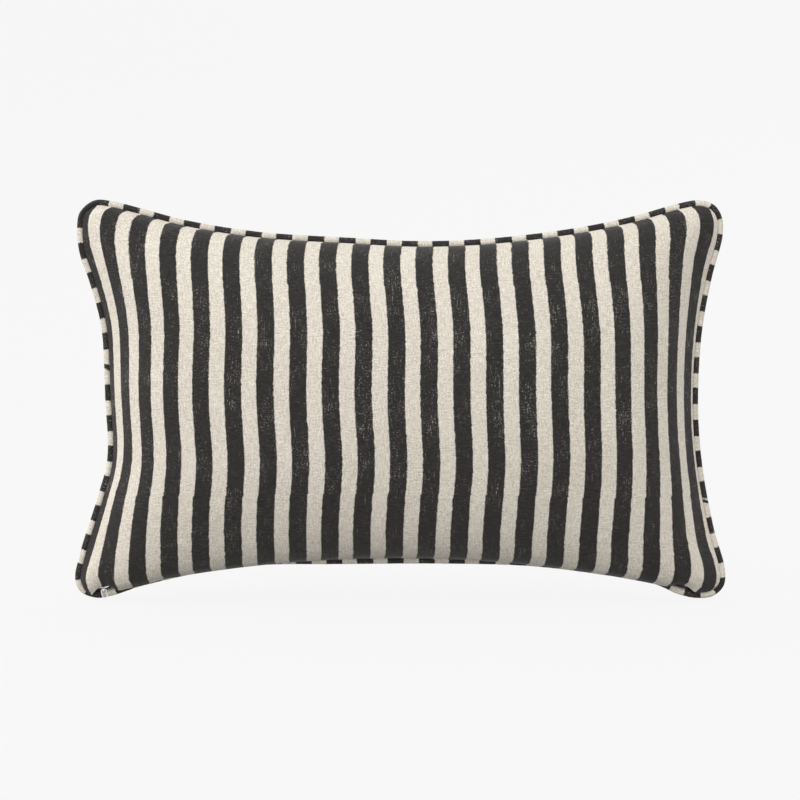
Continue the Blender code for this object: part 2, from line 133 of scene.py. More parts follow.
# The strip that goes round the top left corner, where two dark dashes run together
CORNER_STRIP = "piping_top"
CORNER_SLIP = 2.7 * MM
STRIP_POINTS = 19
STRIP_BUMP = 0.045
JOIN_GAP = 0.3 * MM
JOIN_EDGE = 0.3 * MM
JOIN_SLANT = 0.5
PIPING_STEP = 1.5 * MM
CORD_RADIUS = 1.8 * MM
CORD_PLIES = 3
CORD_PITCH = 9 * MM
THREAD_SIZE = 0.5 * MM
THREAD_RADIUS = 0.12 * MM
THREAD_STEPS = 6
THREAD_LOOK = 0.4 * MM

# Insert
INSERT_INSET = 18 * MM
INSERT_GAP = 2.6 * MM
INSERT_RIM_Y = 1.0 * MM
TICKING_THICKNESS = 0.8 * MM
FILL_GAP = 1.6 * MM
FILL_INSET = 5 * MM
LUMP = 1.2 * MM
LUMP_TAPER = 20 * MM
LUMPS_PER_METRE = 28

# Zip
COIL_SPACING = 2.8 * MM
COIL_HEIGHT = 1.4 * MM
COIL_DEPTH = 1.7 * MM
COIL_PITCH = 1.5 * MM
COIL_WIRE = 0.27 * MM
TAPE_THICKNESS = 0.35 * MM
SLIDER_HALF_LENGTH = 4.5 * MM
SLIDER_HALF_DEPTH = 2.0 * MM
SLIDER_HALF_HEIGHT = 2.9 * MM
PLATE = 0.8 * MM
SIDE_LIP = 0.5 * MM
TAPE_SLOT = 0.65 * MM
PIVOT_Y = ZIP_Y - 3.0 * MM
PIVOT_R = -0.6 * MM
LUG_RADIUS = 1.3 * MM
LUG_WIDTH = 1.6 * MM
LUG_HOLE_RADIUS = 0.7 * MM
WIRE_RADIUS = 0.45 * MM
PULLER_WIDTH = 4.8 * MM
PULLER_LENGTH = 7.2 * MM

LABEL_THICKNESS = 0.35 * MM
LABEL_CURL = 1.4 * MM
LABEL_RIPPLE = 0.25 * MM

# Camera and light
CAMERA_DISTANCE = 1.3
CAMERA_X = -0.8 * MM
CAMERA_Z = 152.3 * MM
VIEW_WIDTH = 615.4 * MM
COVE_GLOW = 0.935
COVE_SHADE = 0.06
WORLD_GLOW = ((0.0, 0.0), (0.33, 0.44), (0.5, 1.47), (1.0, 0.79))
WORLD_SIDEWAYS = -0.3
# A softbox in front of the pillow, above it and to its left
SOFTBOX_PLACE = Vector((-0.8, -1.0, 0.9))
SOFTBOX_AIM = Vector((0.0, 0.0, 0.15))
SOFTBOX_SIZE = 0.9
SOFTBOX_POWER = 2.0

# Block print: period and width of the dark stripes, and where the middle one lies on the cut
STRIPE_PERIOD = 23.85 * MM
STRIPE_WIDTH = 12.7 * MM
STRIPE_OFFSET = -3.6 * MM
PRINT_BAND = (-73 * MM, 89 * MM)
PRINT_DRIFT = (45 * MM, 89 * MM)
LINEN_DEEP = (0.50, 0.435, 0.345, 1)
LINEN_PALE = (0.98, 0.935, 0.835, 1)
INK_DEEP = (0.010, 0.0095, 0.009, 1)
INK_PALE = (0.052, 0.047, 0.044, 1)


# Curves

def between(first, second, first_knot, second_knot, at):
    share = (at - first_knot) / (second_knot - first_knot)
    return first * (1 - share) + second * share


def spline_point(a, b, c, d, t):
    """Point at t between b and c on the centripetal Catmull-Rom curve through four points."""
    ka = 0.0
    kb = ka + math.sqrt((b - a).length)
    kc = kb + math.sqrt((c - b).length)
    kd = kc + math.sqrt((d - c).length)
    at = kb + (kc - kb) * t
    ab = between(a, b, ka, kb, at)
    bc = between(b, c, kb, kc, at)
    cd = between(c, d, kc, kd, at)
    return between(between(ab, bc, ka, kc, at), between(bc, cd, kb, kd, at), kb, kc, at)


def closed_spline(points, steps):
    count = len(points)
    found = []
    for i in range(count):
        around = [points[(i + shift) % count] for shift in (-1, 0, 1, 2)]
        found += [spline_point(*around, step / steps) for step in range(steps)]
    return np.array(found)


def unit(rows):
    return rows / np.linalg.norm(rows, axis=-1, keepdims=True)


def inward(loop):
    """Unit vectors in the XZ plane, from a closed clockwise loop towards its inside."""
    along = np.roll(loop, -1, axis=0) - np.roll(loop, 1, axis=0)
    return unit(np.stack([along[:, 2], np.zeros(len(loop)), -along[:, 0]], axis=1))


def smoothstep(low, high, value):
    t = np.clip((value - low) / (high - low), 0.0, 1.0)
    return t * t * (3 - 2 * t)


def lengths(path):
    """Distance along a path at each of its points."""
    steps = np.linalg.norm(np.diff(path, axis=0), axis=1)
    return np.concatenate([[0.0], np.cumsum(steps)])


def resample(path, wanted):
    """Points of a path at the wanted distances along it."""
    at = lengths(path)
    return np.stack([np.interp(wanted, at, path[:, k]) for k in range(3)], axis=1)


def stretch(loop, first, last, count):
    """count + 1 evenly spaced points along a closed loop, from one of its indices to another."""
    around = (last - first) % len(loop)
    path = loop[[(first + k) % len(loop) for k in range(around + 1)]]
    return resample(path, np.linspace(0.0, lengths(path)[-1], count + 1))


# The zip's arc

def arc_centre():
    left = Vector((ZIP_CLOSED_END[0], 0, ZIP_CLOSED_END[1]))
    right = Vector((ZIP_OPEN_END[0], 0, ZIP_OPEN_END[1]))
    chord = right - left
    down = Vector((chord.z, 0, -chord.x)).normalized()
    return np.array((left + right) / 2 + down * math.sqrt(ZIP_RADIUS ** 2 - (chord.length / 2) ** 2))


ARC_CENTRE = arc_centre()


def arc_angle(x):
    """Angle from straight up at which the zip's arc reaches x."""
    return np.arcsin((x - ARC_CENTRE[0]) / ZIP_RADIUS)


def on_arc(angle, y, r):
    """Points at these angles, r outside the zip's line."""
    reach = ZIP_RADIUS + r
    place = np.stack(np.broadcast_arrays(reach * np.sin(angle), y, reach * np.cos(angle)), axis=-1)
    return ARC_CENTRE + place


def above_arc(points):
    flat = points - ARC_CENTRE
    return np.hypot(flat[..., 0], flat[..., 2]) - ZIP_RADIUS


def zip_share(points):
    """1 where the seam makes way for the zip, falling to 0 past its ends."""
    left = ZIP_CLOSED_END[0] - ZIP_END_ROOM
    right = ZIP_OPEN_END[0] + ZIP_END_ROOM
    rising = smoothstep(left - LIP_RUNOUT, left, points[..., 0])
    falling = 1 - smoothstep(right, right + LIP_RUNOUT, points[..., 0])
    beside = 1 - smoothstep(ZIP_CLEARANCE, 3 * ZIP_CLEARANCE, np.abs(above_arc(points)))
    return rising * falling * beside


def clear_of_zip(points):
    """Move the piping's line back, so that it keeps its distance from the zip's line."""
    reach = np.sqrt(np.maximum(ZIP_CLEARANCE ** 2 - above_arc(points) ** 2, 0.0))
    moved = points.copy()
    moved[:, 1] = np.maximum(ZIP_Y + reach, 0.0) * zip_share(points)
    return moved


EDGE = closed_spline([Vector((x * MM, 0, z * MM)) for x, z in OUTLINE_MM], STEPS_PER_SPAN)
INWARD = inward(EDGE)
LINE = clear_of_zip(EDGE + INWARD * PIPING_RADIUS)


def corners_of(loop):
    """Indices of a loop's top left, top right, bottom right and bottom left corners."""
    x = loop[:, 0] / np.abs(loop[:, 0]).max()
    z = (loop[:, 2] - loop[:, 2].mean()) / np.ptp(loop[:, 2]) * 2
    return [int(np.argmax(sx * x + sz * z)) for sx, sz in ((-1, 1), (1, 1), (1, -1), (-1, -1))]


# Meshes

def mesh_from(name, points, faces):
    mesh = bpy.data.meshes.new(name)
    mesh.from_pydata(np.asarray(points).reshape(-1, 3).tolist(), [], [list(map(int, f)) for f in faces])
    return mesh


def link(name, mesh):
    made = bpy.data.objects.new(name, mesh)
    bpy.context.scene.collection.objects.link(made)
    return made


def drop(item):
    mesh = item.data
    bpy.data.objects.remove(item, do_unlink=True)
    bpy.data.meshes.remove(mesh)


def encloses(mesh):
    """Signed volume of a closed mesh: positive where its faces point out."""
    mesh.calc_loop_triangles()
    corners = np.zeros(len(mesh.loop_triangles) * 3, np.int32)
    mesh.loop_triangles.foreach_get("vertices", corners)
    points = np.zeros(len(mesh.vertices) * 3)
    mesh.vertices.foreach_get("co", points)
    a, b, c = points.reshape(-1, 3)[corners.reshape(-1, 3)].transpose(1, 0, 2)
    return float(np.einsum("ij,ij->i", a, np.cross(b, c)).sum()) / 6


def add_piece(name, points, faces, material, uvs=None, sharp=40):
    """One closed piece. uvs holds a UV map's name and its coordinates, corner by corner."""
    mesh = mesh_from(name, points, faces)
    for layer, coordinates in (uvs or {}).items():
        made = mesh.uv_layers.new(name=layer)
        made.data.foreach_set("uv", np.asarray(coordinates, np.float32).ravel())
    if encloses(mesh) < 0:
        mesh.flip_normals()
    mesh.materials.append(material)
    mesh.shade_smooth()
    mesh.set_sharp_from_angle(angle=math.radians(sharp))
    return link(name, mesh)


def tube_faces(stations, points, closed):
    """Side faces between rings of points, and their (station, point) corners without wrapping."""
    i = np.arange(stations if closed else stations - 1)[:, None, None]
    k = np.arange(points)[None, :, None]
    corner_i = i + np.array([0, 0, 1, 1])
    corner_k = k + np.array([0, 1, 1, 0])
    corner_i, corner_k = np.broadcast_arrays(corner_i, corner_k)
    corner_i = corner_i.reshape(-1, 4)
    corner_k = corner_k.reshape(-1, 4)
    return (corner_i % stations) * points + corner_k % points, corner_i, corner_k


def add_tube(name, rings, material, closed=False, along=None, around=None, sharp=40):
    """Piece swept through rings of points, with caps on its ends and along, around as its cut map."""
    stations, points = rings.shape[:2]
    faces, i, k = tube_faces(stations, points, closed)
    faces = faces.tolist()
    uvs = None
    if along is not None:
        coordinates = np.stack([along[i], around[k]], axis=-1).reshape(-1, 2)
        if not closed:
            ends = [(along[end], around[k]) for end in (0, stations - 1) for k in range(points)]
            coordinates = np.concatenate([coordinates, ends])
        uvs = {"cut": coordinates}
    if not closed:
        faces += [list(range(points)), [(stations - 1) * points + k for k in range(points)]]
    return add_piece(name, rings, faces, material, uvs, sharp)


def wire_rings(spine, first, second, radius, sides):
    """Round wire's rings of points about a spine, between two directions square to it."""
    turn = 2 * math.pi * np.arange(sides) / sides
    around = np.cos(turn)[None, :, None] * first[:, None] + np.sin(turn)[None, :, None] * second[:, None]
    return spine[:, None] + radius * around


def smooth_rows(grid, times):
    """A grid with times as many steps between its rows, on Catmull-Rom curves."""
    padded = np.concatenate([2 * grid[:1] - grid[1:2], grid, 2 * grid[-1:] - grid[-2:-1]])
    a, b, c, d = padded[:-3], padded[1:-2], padded[2:-1], padded[3:]
    found = []
    for step in range(times):
        t = step / times
        found.append(0.5 * (2 * b + (c - a) * t + (2 * a - 5 * b + 4 * c - d) * t ** 2
                            + (3 * b - a - 3 * c + d) * t ** 3))
    rows = np.stack(found, axis=1).reshape(-1, *grid.shape[1:])
    return np.concatenate([rows, grid[-1:]])


def refined(grid, times):
    across = smooth_rows(grid, times).transpose(1, 0, 2)
    return smooth_rows(across, times).transpose(1, 0, 2)


def perimeter(rows, columns):
    """Indices of a grid's edge points, clockwise from its top left corner."""
    index = np.arange(rows * columns).reshape(rows, columns)
    return np.concatenate([index[0, :-1], index[:-1, -1], index[-1, :0:-1], index[:0:-1, 0]])


def normals_of(points, faces):
    a, b, c, d = (points[faces[:, k]] for k in range(4))
    across = np.cross(c - a, d - b)
    summed = np.zeros_like(points)
    for k in range(4):
        np.add.at(summed, faces[:, k], across)
    return unit(summed)


def add_sheet(name, grid, cut, material, thickness, allowance=None):
    """Closed cloth of this thickness over a grid of points, with its turned-in allowance round it.

    cut is the grid's place on the flat cloth; allowance is a ring of points and their place on it."""
    rows, columns = grid.shape[:2]
    rim = perimeter(rows, columns)
    points = grid.reshape(-1, 3)
    flat = cut.reshape(-1, 3)[:, [0, 2]]
    faces = grid_faces(rows, columns)
    if allowance is not None:
        ring, ring_cut = allowance
        fresh = len(points) + np.arange(len(rim))
        band = np.stack([rim, fresh, np.roll(fresh, -1), np.roll(rim, -1)], axis=1)
        points = np.concatenate([points, ring])
        flat = np.concatenate([flat, ring_cut[:, [0, 2]]])
        faces = np.concatenate([faces, band[:, ::-1]])
        rim = fresh
    count = len(points)
    normals = normals_of(points, faces)
    both = np.concatenate([points + normals * thickness / 2, points - normals * thickness / 2])
    following = np.roll(rim, -1)
    edge = np.stack([rim, following, following + count, rim + count], axis=1)
    every = np.concatenate([faces, faces[:, ::-1] + count, edge])
    coordinates = flat[every % count]
    low = flat.min(axis=0)
    share = (coordinates - low) / (flat.max(axis=0) - low)
    bake = share * (0.96, 0.45) + (0.02, 0.52)
    second = np.zeros(len(every), bool)
    second[len(faces):] = True
    bake[second] -= (0.0, 0.5)
    uvs = {"cut": coordinates.reshape(-1, 2), "OFBake": bake.reshape(-1, 2)}
    return add_piece(name, both, every, material, uvs)


# Cover panels

def rounded_cut(width, height, radius):
    """Closed loop of a flat cut with rounded corners, clockwise from its top left corner."""
    points = []
    for sx, sz, start in ((-1, 1, 180), (1, 1, 90), (1, -1, 0), (-1, -1, -90)):
        middle = (sx * (width / 2 - radius), sz * (height / 2 - radius))
        for step in range(CORNER_POINTS):
            a = math.radians(start - 90 * step / (CORNER_POINTS - 1))
            points.append((middle[0] + radius * math.cos(a), 0.0, middle[1] + radius * math.sin(a)))
    return np.array(points)


def coons(loop, corners, across, up):
    """Grid of points that fills a closed loop: rows from top to bottom, columns from left to right."""
    top_left, top_right, low_right, low_left = corners
    top = stretch(loop, top_left, top_right, across)
    right = stretch(loop, top_right, low_right, up)
    bottom = stretch(loop, low_right, low_left, across)[::-1]
    left = stretch(loop, low_left, top_left, up)[::-1]
    s = np.linspace(0, 1, across + 1)[None, :, None]
    t = np.linspace(0, 1, up + 1)[:, None, None]
    ruled = (1 - t) * top[None] + t * bottom[None] + (1 - s) * left[:, None] + s * right[:, None]
    twist = (1 - s) * (1 - t) * top[0] + s * (1 - t) * top[-1] + (1 - s) * t * bottom[0] + s * t * bottom[-1]
    return ruled - twist


def back_rim():
    rim = LINE + INWARD * RIM_INSET
    rim[:, 1] += RIM_Y
    return rim


def front_rim():
    """The front panel's edge: beside the piping, except along the zip, where it hangs as a welt."""
    seam = LINE + INWARD * RIM_INSET
    share = zip_share(seam)[:, None]
    away = np.minimum(np.abs(seam[:, 0] - ZIP_CLOSED_END[0]), np.abs(seam[:, 0] - ZIP_OPEN_END[0]))
    open_share = 1 - smoothstep(WELT_OPENING, WELT_OPENING + WELT_RISE, away)
    droop = WELT_DROOP - WELT_CORNER_DROOP * (1 - smoothstep(*WELT_CORNER, seam[:, 0]))
    r = droop + (WELT_OPEN - droop) * open_share
    beside = seam.copy()
    beside[:, 1] = -RIM_Y
    welt = on_arc(arc_angle(np.clip(seam[:, 0], -0.25, 0.25)), -WELT_Y, r)
    return beside * (1 - share) + welt * share


def dome(grid, side):
    """Lift a grid into a pillow's half, as a start for the cloth."""
    rows, columns = grid.shape[:2]
    s = np.linspace(-1, 1, columns)[None, :]
    t = np.linspace(-1, 1, rows)[:, None]
    lift = np.sqrt((1 - s ** 4) * (1 - t ** 2)) * (1 - 0.25 * s ** 2 * t ** 2)
    lifted = grid.copy()
    lifted[..., 1] += side * (CROWN - np.abs(grid[..., 1])) * lift
    return lifted


def grid_faces(rows, columns):
    corner = (np.arange(rows - 1)[:, None] * columns + np.arange(columns - 1)[None, :]).ravel()
    return np.stack([corner, corner + columns, corner + columns + 1, corner + 1], axis=1)


def add_cloth(start, flat, side):
    """Cloth with the flat cut as its rest shape, its rim held by the seam, blown out by the filling."""
    rows, columns = start.shape[:2]
    faces = grid_faces(rows, columns)
    if side > 0:
        faces = faces[:, ::-1]
    cloth = link("cloth", mesh_from("cloth", start, faces))
    cloth.shape_key_add(name="Basis")
    cut = cloth.shape_key_add(name="cut")
    cut.data.foreach_set("co", flat.astype(np.float32).ravel())
    rim = np.zeros((rows, columns), bool)
    rim[0] = rim[-1] = True
    rim[:, 0] = rim[:, -1] = True
    held = cloth.vertex_groups.new(name="held")
    held.add([int(i) for i in np.flatnonzero(rim.ravel())], 1.0, "REPLACE")
    modifier = cloth.modifiers.new("Cloth", "CLOTH")
    settings = modifier.settings
    for key, value in CLOTH_SETTINGS.items():
        setattr(settings, key, value)
    settings.rest_shape_key = cut
    settings.effector_weights.gravity = 0
    modifier.collision_settings.use_collision = False
    modifier.point_cache.frame_end = CLOTH_FRAMES
    return cloth


def inflate(starts, flat):
    """Both halves of the cover after the cloth simulation, as grids of points."""
    cloths = [add_cloth(start, flat, side) for start, side in starts]
    scene = bpy.context.scene
    scene.frame_end = CLOTH_FRAMES
    for number in range(1, CLOTH_FRAMES + 1):
        scene.frame_set(number)
    graph = bpy.context.evaluated_depsgraph_get()
    found = []
    for cloth, (start, _side) in zip(cloths, starts):
        points = np.zeros(start.size, np.float32)
        cloth.evaluated_get(graph).data.vertices.foreach_get("co", points)
        found.append(points.reshape(start.shape).astype(float))
    scene.frame_set(1)
    for cloth in cloths:
        drop(cloth)
    return found


def respaced(line, cut, edge_share):
    """Slide a row's points along it until they share it out as the flat cut's row does.

    A row is a little longer than its cut; edge_share of that stretch goes to the row's two ends.
    """
    along = lengths(line)
    wanted = lengths(cut)
    from_middle = 2 * wanted / wanted[-1] - 1
    even = wanted * (along[-1] / wanted[-1])
    edges = wanted + (along[-1] - wanted[-1]) * (1 + from_middle ** 5) / 2
    wanted = (1 - edge_share) * even + edge_share * edges
    return np.stack([np.interp(wanted, along, line[:, axis]) for axis in range(3)], axis=1)


def eased(grid):
    """Let the ends of the pillow fall away more gently than the cloth alone would."""
    inset = np.minimum(grid[..., 0] - grid[:, :1, 0], grid[:, -1:, 0] - grid[..., 0])
    height = np.minimum(grid[:1, :, 2] - grid[..., 2], grid[..., 2] - grid[-1:, :, 2])
    share = np.exp(-np.maximum(inset, 0) / EASE_REACH) * smoothstep(0, EASE_RUNOUT, height)
    rim = grid[:, :1, 1]
    grid[..., 1] = rim + (grid[..., 1] - rim) * (1 - EASE * share)
    return grid


def evened(grid, flat):
    """Spread the cloth's strain evenly along every thread, as the weave does when it is patted smooth."""
    rows, columns = grid.shape[:2]
    for _pass in range(EVENING):
        for row in range(1, rows - 1):
            grid[row] = respaced(grid[row], flat[row], EDGE_SHARE)
        for column in range(1, columns - 1):
            grid[:, column] = respaced(grid[:, column], flat[:, column], 0.0)
    return grid


def make_shapes():
    cut = rounded_cut(CUT_WIDTH, CUT_HEIGHT, CUT_CORNER)
    middles = [CORNER_POINTS * k + CORNER_POINTS // 2 for k in range(4)]
    flat = coons(cut, middles, GRID_ACROSS, GRID_UP)
    corners = corners_of(EDGE)
    starts = []
    for rim, side in ((front_rim(), -1), (back_rim(), 1)):
        starts.append((dome(coons(rim, corners, GRID_ACROSS, GRID_UP), side), side))
    shapes = inflate(starts, flat)
    return flat, [evened(eased(shape), flat) for shape in shapes]


# Piping, cord and threads

LINE_CLOSED = np.concatenate([LINE, LINE[:1]])
LINE_LENGTH = lengths(LINE_CLOSED)[-1]


def line_frame(s):
    """Points, directions along and directions inward of the piping's line at these distances."""
    half = 0.6 * MM
    place = resample(LINE_CLOSED, np.mod(s, LINE_LENGTH))
    ahead = resample(LINE_CLOSED, np.mod(s + half, LINE_LENGTH))
    behind = resample(LINE_CLOSED, np.mod(s - half, LINE_LENGTH))
    along = unit(ahead - behind)
    into = unit(np.stack([along[:, 2], np.zeros(len(s)), -along[:, 0]], axis=1))
    return place, along, into


def along_line(x, z):
    """Distance along the piping's line of its point nearest to x, z."""
    away = np.hypot(LINE[:, 0] - x, LINE[:, 2] - z)
    return lengths(LINE_CLOSED)[int(np.argmin(away))]


def strip_section():
    """(y, inward) outline of the piping strip: round the cord, with a two-layer flange."""
    inner = PIPING_RADIUS - STRIP_THICKNESS
    angles = np.radians(np.linspace(62, -242, STRIP_POINTS))
    outside = [(PIPING_RADIUS * math.cos(a), PIPING_RADIUS * math.sin(a)) for a in angles]
    inside = [(inner * math.cos(a), inner * math.sin(a)) for a in angles[::-1]]
    return np.array(
        [(FLANGE_OUTER, FLANGE_REACH), (FLANGE_OUTER, PIPING_RADIUS)] + outside
        + [(-FLANGE_OUTER, PIPING_RADIUS), (-FLANGE_OUTER, FLANGE_REACH), (-FLANGE_INNER, FLANGE_REACH)]
        + [(-FLANGE_INNER, inner)] + inside + [(FLANGE_INNER, inner), (FLANGE_INNER, FLANGE_REACH)]
    )


def make_strips(material):
    """The piping's three strips, printed across, with diagonal joins."""
    section = strip_section()
    around = lengths(np.concatenate([section, section[:1]])[:, [0, 0, 1]] * (1, 0, 1))
    # The points that show: the outer round without its two ends, which follow the flange's first two
    outside = np.zeros(len(section))
    outside[3:STRIP_POINTS + 1] = 1
    for name, node, start, end, dash, period in STRIPS:
        first = along_line(*start) + JOIN_GAP / 2
        last = along_line(*end) - JOIN_GAP / 2
        last += LINE_LENGTH * (last < first)
        dash += LINE_LENGTH * (dash < first)
        s = np.linspace(first, last, int((last - first) / PIPING_STEP))
        s = np.concatenate([[first], s[:1] + JOIN_EDGE, s[1:-1], s[-1:] - JOIN_EDGE, [last]])
        place, along, into = line_frame(s)
        ends = 1 - smoothstep(0, 8 * MM, np.minimum(s - first, last - s))
        bumps = np.array([
            [noise.noise(Vector((at * 260, *(3 * point / PIPING_RADIUS)))) for point in section]
            for at in s
        ])
        size = 1 + STRIP_BUMP * bumps * outside
        y = section[None, :, 0] * size
        depth = section[None, :, 1] * size
        rings = (
            place[:, None] + y[..., None] * np.array([0, 1, 0]) + depth[..., None] * into[:, None]
            - (JOIN_SLANT * ends[:, None] * depth)[..., None] * along[:, None]
        )
        from_dash = s - dash
        if name == CORNER_STRIP:
            slipped = np.minimum(from_dash + period - CORNER_SLIP, -period)
            from_dash = np.where(from_dash > -period, from_dash, slipped)
        print_place = STRIPE_OFFSET + from_dash * STRIPE_PERIOD / period
        print_place[[0, -1]] = STRIPE_OFFSET + STRIPE_PERIOD / 2
        strip = add_tube(name, rings, material, along=print_place, around=around)
        finish_piece(strip, "cushion", "printed_linen", node)


def make_cord(material):
    """Three-ply twisted cord inside the piping."""
    s = np.arange(0, LINE_LENGTH, 1.2 * MM)
    place, _along, into = line_frame(s)
    turn = np.linspace(0, 2 * math.pi, 13)[:-1]
    turns = round(LINE_LENGTH / CORD_PITCH)
    twist = 2 * math.pi * turns * s / LINE_LENGTH
    radius = CORD_RADIUS * (0.9 + 0.1 * np.cos(CORD_PLIES * (turn[None] - twist[:, None])))
    y = radius * np.cos(turn)
    depth = radius * np.sin(turn)
    rings = place[:, None] + y[..., None] * np.array([0, 1, 0]) + depth[..., None] * into[:, None]
    cord = add_tube("twisted_cord", rings, material, closed=True, along=np.append(s, LINE_LENGTH),
                    around=np.linspace(0, 2 * math.pi * CORD_RADIUS, 13))
    finish_piece(cord, "cushion", "cotton_cord", "piping_cord")


def wound_thread(name, path, material, pitch, reach, radius):
    """Thread wound round a closed path: a row of overlock stitches."""
    loop = np.concatenate([path, path[:1]])
    total = lengths(loop)[-1]
    s = np.linspace(0, total, int(total / pitch) * THREAD_STEPS + 1)[:-1]
    centre = resample(loop, s)
    ahead = resample(loop, np.mod(s + THREAD_LOOK, total))
    behind = resample(loop, np.mod(s - THREAD_LOOK, total))
    along = unit(ahead - behind)
    sideways = np.array([0.0, 1.0, 0.0])
    upward = np.cross(along, sideways)
    turn = 2 * math.pi * np.arange(len(s)) / THREAD_STEPS
    spine = centre + reach * (np.cos(turn)[:, None] * sideways + np.sin(turn)[:, None] * upward)
    direction = unit(np.roll(spine, -1, axis=0) - np.roll(spine, 1, axis=0))
    first = unit(np.cross(direction, centre + along - spine))
    rings = wire_rings(spine, first, np.cross(direction, first), radius, 4)
    return add_tube(name, rings, material, closed=True, sharp=80)


def make_overlock(material):
    path = LINE + INWARD * (FLANGE_REACH + JOIN_GAP + THREAD_SIZE / 2 + 0.1 * MM)
    thread = wound_thread("overlock_stitches", path, material, 2.0 * MM, 0.18 * MM, THREAD_RADIUS)
    finish_piece(thread, "cushion", "sewing_thread", "overlock_thread")


def finish_piece(piece, body, slot, *nodes):
    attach(piece, body)
    if nodes:
        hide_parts(*nodes)


def make_panels(flat, front, back, material):
    cut = refined(flat, FINENESS)
    for name, node, points, rests_on in (
        ("front_cover", "front_panel", front, "insert_case_front"),
        ("back_cover", "back_panel", back, "insert_case_back"),
    ):
        fine = refined(points, FINENESS)
        rim = perimeter(*fine.shape[:2])
        ring = fine.reshape(-1, 3)[rim]
        ring_cut = cut.reshape(-1, 3)[rim]
        ring_cut = ring_cut - inward(ring_cut) * TURN_IN
        turned = ring + inward(ring) * TURN_IN
        turned[:, 1] -= np.sign(ring[:, 1]) * TURN_IN_Y
        piece = add_sheet(name, fine, cut, material, CLOTH_THICKNESS, (turned, ring_cut))
        finish_piece(piece, "cushion", "printed_linen", node)


# Insert

def insert_half(points, gap, inset):
    """The insert's half inside a panel: gap inside it, with its own seam this far in from the panel's."""
    rows, columns = points.shape[:2]
    s = np.linspace(-1, 1, columns)[None, :]
    t = np.linspace(-1, 1, rows)[:, None]
    centre = np.array([0, 0, CENTRE_Z])
    half_width = np.abs(points[..., 0]).max()
    half_height = np.ptp(points[..., 2]) / 2
    scale = np.array([1 - inset / half_width, 1, 1 - inset / half_height])
    found = centre + (points - centre) * scale
    edge = np.maximum(np.abs(s), np.abs(t))
    side = np.sign(points[rows // 2, columns // 2, 1])
    height = np.maximum(np.abs(points[..., 1]) - gap, 0) * np.sqrt(1 - edge ** 7)
    found[..., 1] = side * (height + INSERT_RIM_Y)
    return found


def make_insert(flat, front, back, ticking, filling, thread):
    cut = flat * np.array([1.02, 1, 1.02])
    for name, node, points in (("insert_case_front", "insert_front", front),
                               ("insert_case_back", "insert_back", back)):
        half = insert_half(points, INSERT_GAP, INSERT_INSET)
        case = add_sheet(name, half, cut, ticking, TICKING_THICKNESS)
        finish_piece(case, "cushion", "ticking", node)
    inset = INSERT_INSET + FILL_INSET
    lumps = [insert_half(points, INSERT_GAP + FILL_GAP, inset) for points in (front, back)]
    rows, columns = flat.shape[:2]
    for half in lumps:
        lumpy = np.array([noise.noise(Vector(p) * LUMPS_PER_METRE) for p in half.reshape(-1, 3)])
        side = np.sign(half[rows // 2, columns // 2, 1])
        taper = np.minimum(np.abs(half[..., 1]) / LUMP_TAPER, 1)
        half[..., 1] -= side * (LUMP + LUMP * lumpy.reshape(rows, columns)) * taper
    count = rows * columns
    rim = perimeter(rows, columns)
    following = np.roll(rim, -1)
    faces = grid_faces(rows, columns)
    band = np.stack([rim, following, following + count, rim + count], axis=1)
    every = np.concatenate([faces, faces[:, ::-1] + count, band])
    fill = add_piece("feather_filling", np.concatenate(lumps).reshape(-1, 3), every, filling)
    finish_piece(fill, "cushion", "filling", "insert_fill")
    seam = insert_half(front, INSERT_GAP, INSERT_INSET - 1.2 * MM)
    path = seam.reshape(-1, 3)[perimeter(*seam.shape[:2])]
    path[:, 1] = 0
    stitches = wound_thread("insert_stitches", path, thread, 2.6 * MM, 0.16 * MM, THREAD_RADIUS)
    finish_piece(stitches, "cushion", "sewing_thread", "insert_seam_thread")


# Zip

def arc_stations(x_from, x_to, step):
    first, last = arc_angle(x_from), arc_angle(x_to)
    return np.linspace(first, last, max(int((last - first) * ZIP_RADIUS / step), 2))


def arc_tube(name, section, angles, material):
    """Piece with a (y, r) section swept along the zip's arc."""
    section = np.asarray(section)
    rings = on_arc(angles[:, None], section[None, :, 0], section[None, :, 1])
    closed = np.concatenate([section, section[:1]])
    around = lengths(np.stack([closed[:, 0], np.zeros(len(closed)), closed[:, 1]], axis=1))
    return add_tube(name, rings, material, along=angles * ZIP_RADIUS, around=around)


def band_section(path, thickness, steps=5):
    """(y, r) outline of a thin band along a path of points."""
    path = np.array(path)
    line = np.stack([path[:, 0], np.zeros(len(path)), path[:, 1]], axis=1)
    wanted = np.unique(np.concatenate([lengths(line), np.linspace(0, lengths(line)[-1], steps * len(path))]))
    fine = resample(line, wanted)[:, [0, 2]]
    along = np.gradient(fine, axis=0)
    normal = unit(np.stack([-along[:, 1], along[:, 0]], axis=1))
    return np.concatenate([fine + normal * thickness / 2, (fine - normal * thickness / 2)[::-1]])


def make_coil(name, r, material, node, angles):
    """Nylon monofilament wound into the zip's teeth."""
    total = (angles[-1] - angles[0]) * ZIP_RADIUS
    turns = int(total / COIL_PITCH)
    steps = turns * 8
    turn = 2 * math.pi * np.arange(steps + 1) / 8
    angle = np.linspace(angles[0] + WIRE_RADIUS, angles[-1] - WIRE_RADIUS, steps + 1)
    reach = COIL_HEIGHT / 2 - COIL_WIRE
    depth = COIL_DEPTH / 2 - COIL_WIRE
    spine = on_arc(angle, CHAIN_Y + depth * np.sin(turn), r + reach * np.cos(turn))
    direction = unit(np.gradient(spine, axis=0))
    outward = unit(spine - on_arc(angle, CHAIN_Y, r))
    first = unit(np.cross(direction, outward))
    rings = wire_rings(spine, first, np.cross(direction, first), COIL_WIRE, 5)
    coil = add_tube(name, rings, material, sharp=80)
    finish_piece(coil, "cushion", "zip_coil", node)


